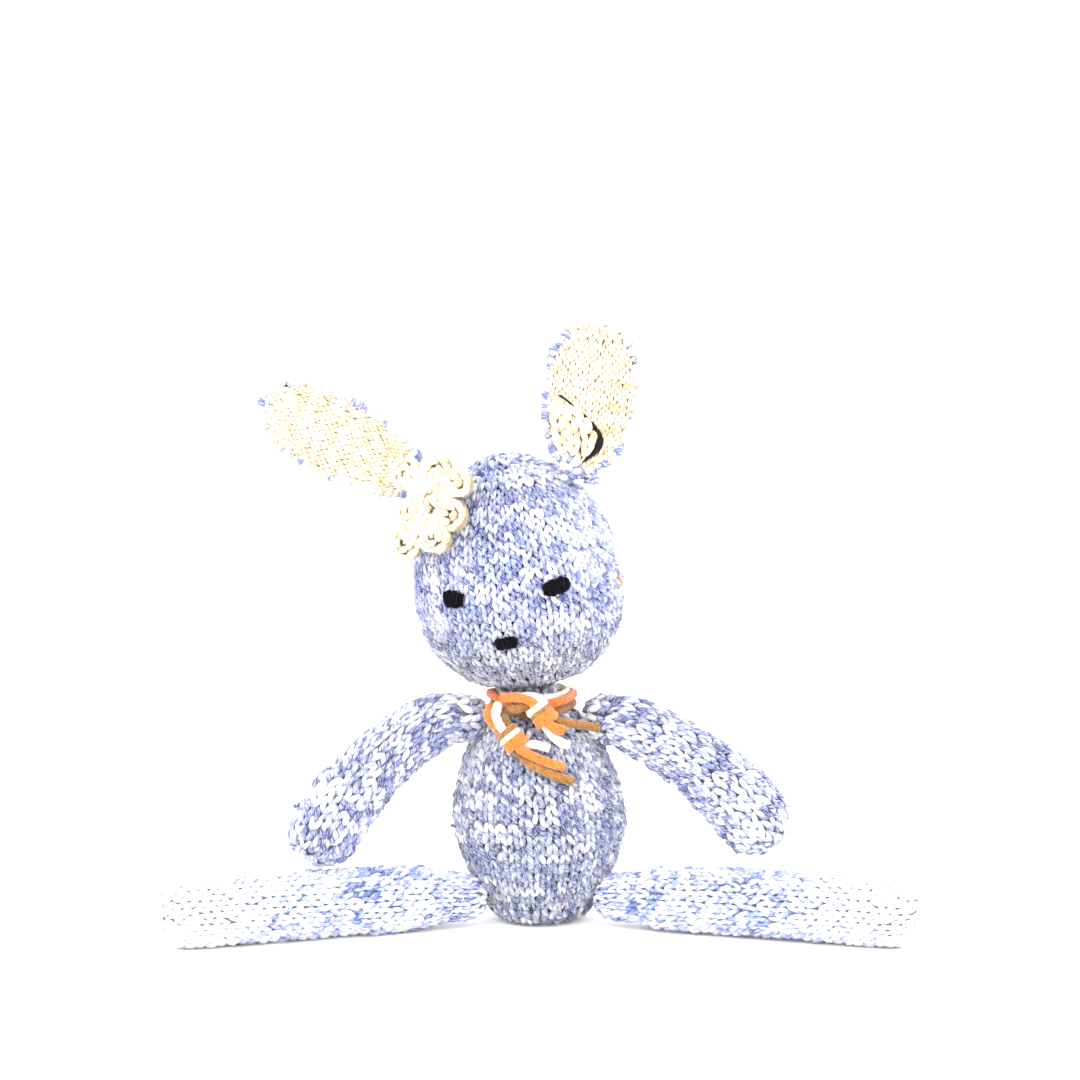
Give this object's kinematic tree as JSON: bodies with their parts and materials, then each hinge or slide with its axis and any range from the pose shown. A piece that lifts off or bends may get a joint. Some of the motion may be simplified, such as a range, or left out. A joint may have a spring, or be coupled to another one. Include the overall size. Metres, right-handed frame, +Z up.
{
  "type": "stuffed knitted rabbit",
  "caption": "Hand-knitted sitting rabbit with a turning head, drooping ears, swinging arms, splayed legs, a crochet flower and a knotted felt tie.",
  "frame": {"origin": "on the floor, at the centre of the flat gathered seat of the body", "axes": "+Z up, the face looks along -Y, the toy's own left is +X"},
  "size_m": [0.29, 0.0943, 0.2351],
  "materials": {
    "yarn": "thick marled wool knit, matte",
    "ear_wool": "lilac-blue marled wool knit, matte",
    "cream_wool": "cream wool, knitted or crocheted, matte",
    "black_yarn": "black embroidery yarn, matte",
    "orange_felt": "felted orange strand, matte",
    "cream_felt": "felted cream strand, matte",
    "brown_felt": "felted olive-brown strand, matte",
    "fibrefill": "loose polyester fibrefill"
  },
  "bodies": {
    "torso": {"body_cover": "yarn", "body_stuffing": "fibrefill", "collar_cream": "cream_felt", "collar_orange": "orange_felt", "collar_brown": "brown_felt", "tie_knot_upper": "orange_felt", "tie_knot_lower": "orange_felt", "tie_upper_orange_lead": "orange_felt", "tie_upper_orange_tail": "orange_felt", "tie_upper_cream_lead": "cream_felt", "tie_upper_cream_tail": "cream_felt", "tie_upper_brown_lead": "brown_felt", "tie_upper_brown_tail": "brown_felt", "tie_lower_orange_lead": "orange_felt", "tie_lower_orange_tail": "orange_felt", "tie_lower_cream_lead": "cream_felt", "tie_lower_cream_tail": "cream_felt", "tie_lower_brown_lead": "brown_felt", "tie_lower_brown_tail": "brown_felt"},
    "neck_yarn": {"neck_joining_yarn": "yarn"},
    "head": {"head_cover": "yarn", "head_stuffing": "fibrefill", "eye_right": "black_yarn", "eye_left": "black_yarn", "nose": "black_yarn", "crochet_flower": "cream_wool"},
    "ear_right": {"ear_right_outer": "ear_wool", "ear_right_lining": "cream_wool", "ear_right_edge": "ear_wool"},
    "ear_left": {"ear_left_outer": "ear_wool", "ear_left_lining": "cream_wool", "ear_left_edge": "ear_wool"},
    "shoulder_right_yarn": {"shoulder_right_joining_yarn": "yarn"},
    "arm_right": {"arm_right_cover": "yarn", "arm_right_stuffing": "fibrefill"},
    "hip_right_yarn": {"hip_right_joining_yarn": "yarn"},
    "leg_right": {"leg_right_cover": "yarn", "leg_right_stuffing": "fibrefill"},
    "shoulder_left_yarn": {"shoulder_left_joining_yarn": "yarn"},
    "arm_left": {"arm_left_cover": "yarn", "arm_left_stuffing": "fibrefill"},
    "hip_left_yarn": {"hip_left_joining_yarn": "yarn"},
    "leg_left": {"leg_left_cover": "yarn", "leg_left_stuffing": "fibrefill"}
  },
  "joints": [
    {"name": "neck_turn", "type": "hinge", "parent": "torso", "child": "neck_yarn", "pos_m": [-0.003, 0, 0.09], "axis": [0, 0, 1], "range_deg": [-40, 40]},
    {"name": "neck_nod", "type": "hinge", "parent": "neck_yarn", "child": "head", "pos_m": [-0.003, 0, 0.09], "axis": [1, 0, 0], "range_deg": [-8, 5]},
    {"name": "shoulder_right_swing", "type": "hinge", "parent": "torso", "child": "shoulder_right_yarn", "pos_m": [-0.02845, -0.00559, 0.08037], "axis": [-0.9302, -0.367, 0], "range_deg": [-60, 75]},
    {"name": "shoulder_right_raise", "type": "hinge", "parent": "shoulder_right_yarn", "child": "arm_right", "pos_m": [-0.02845, -0.00559, 0.08037], "axis": [-0.367, 0.9302, 0], "range_deg": [0, 45]},
    {"name": "shoulder_left_swing", "type": "hinge", "parent": "torso", "child": "shoulder_left_yarn", "pos_m": [0.02412, -0.00559, 0.08037], "axis": [-0.9377, 0.3476, 0], "range_deg": [-60, 75]},
    {"name": "shoulder_left_raise", "type": "hinge", "parent": "shoulder_left_yarn", "child": "arm_left", "pos_m": [0.02412, -0.00559, 0.08037], "axis": [-0.3476, -0.9377, 0], "range_deg": [0, 45]},
    {"name": "hip_right_splay", "type": "hinge", "parent": "torso", "child": "hip_right_yarn", "pos_m": [-0.03046, -0.01356, 0.01186], "axis": [0, 0, 1], "range_deg": [-20, 65]},
    {"name": "hip_right_flex", "type": "hinge", "parent": "hip_right_yarn", "child": "leg_right", "pos_m": [-0.03046, -0.01356, 0.01186], "axis": [-0.2756, 0.9613, 0], "range_deg": [-80, 0]},
    {"name": "hip_left_splay", "type": "hinge", "parent": "torso", "child": "hip_left_yarn", "pos_m": [0.03046, -0.01356, 0.01186], "axis": [0, 0, -1], "range_deg": [-20, 65]},
    {"name": "hip_left_flex", "type": "hinge", "parent": "hip_left_yarn", "child": "leg_left", "pos_m": [0.03046, -0.01356, 0.01186], "axis": [-0.2756, -0.9613, 0], "range_deg": [-80, 0]},
    {"name": "ear_right_droop", "type": "hinge", "parent": "head", "child": "ear_right", "pos_m": [-0.04435, 0.00179, 0.17097], "axis": [0, -1, 0], "range_deg": [-60, 60]},
    {"name": "ear_left_droop", "type": "hinge", "parent": "head", "child": "ear_left", "pos_m": [0.01595, -0.00996, 0.17834], "axis": [0, 1, 0], "range_deg": [-20, 80]}
  ]
}
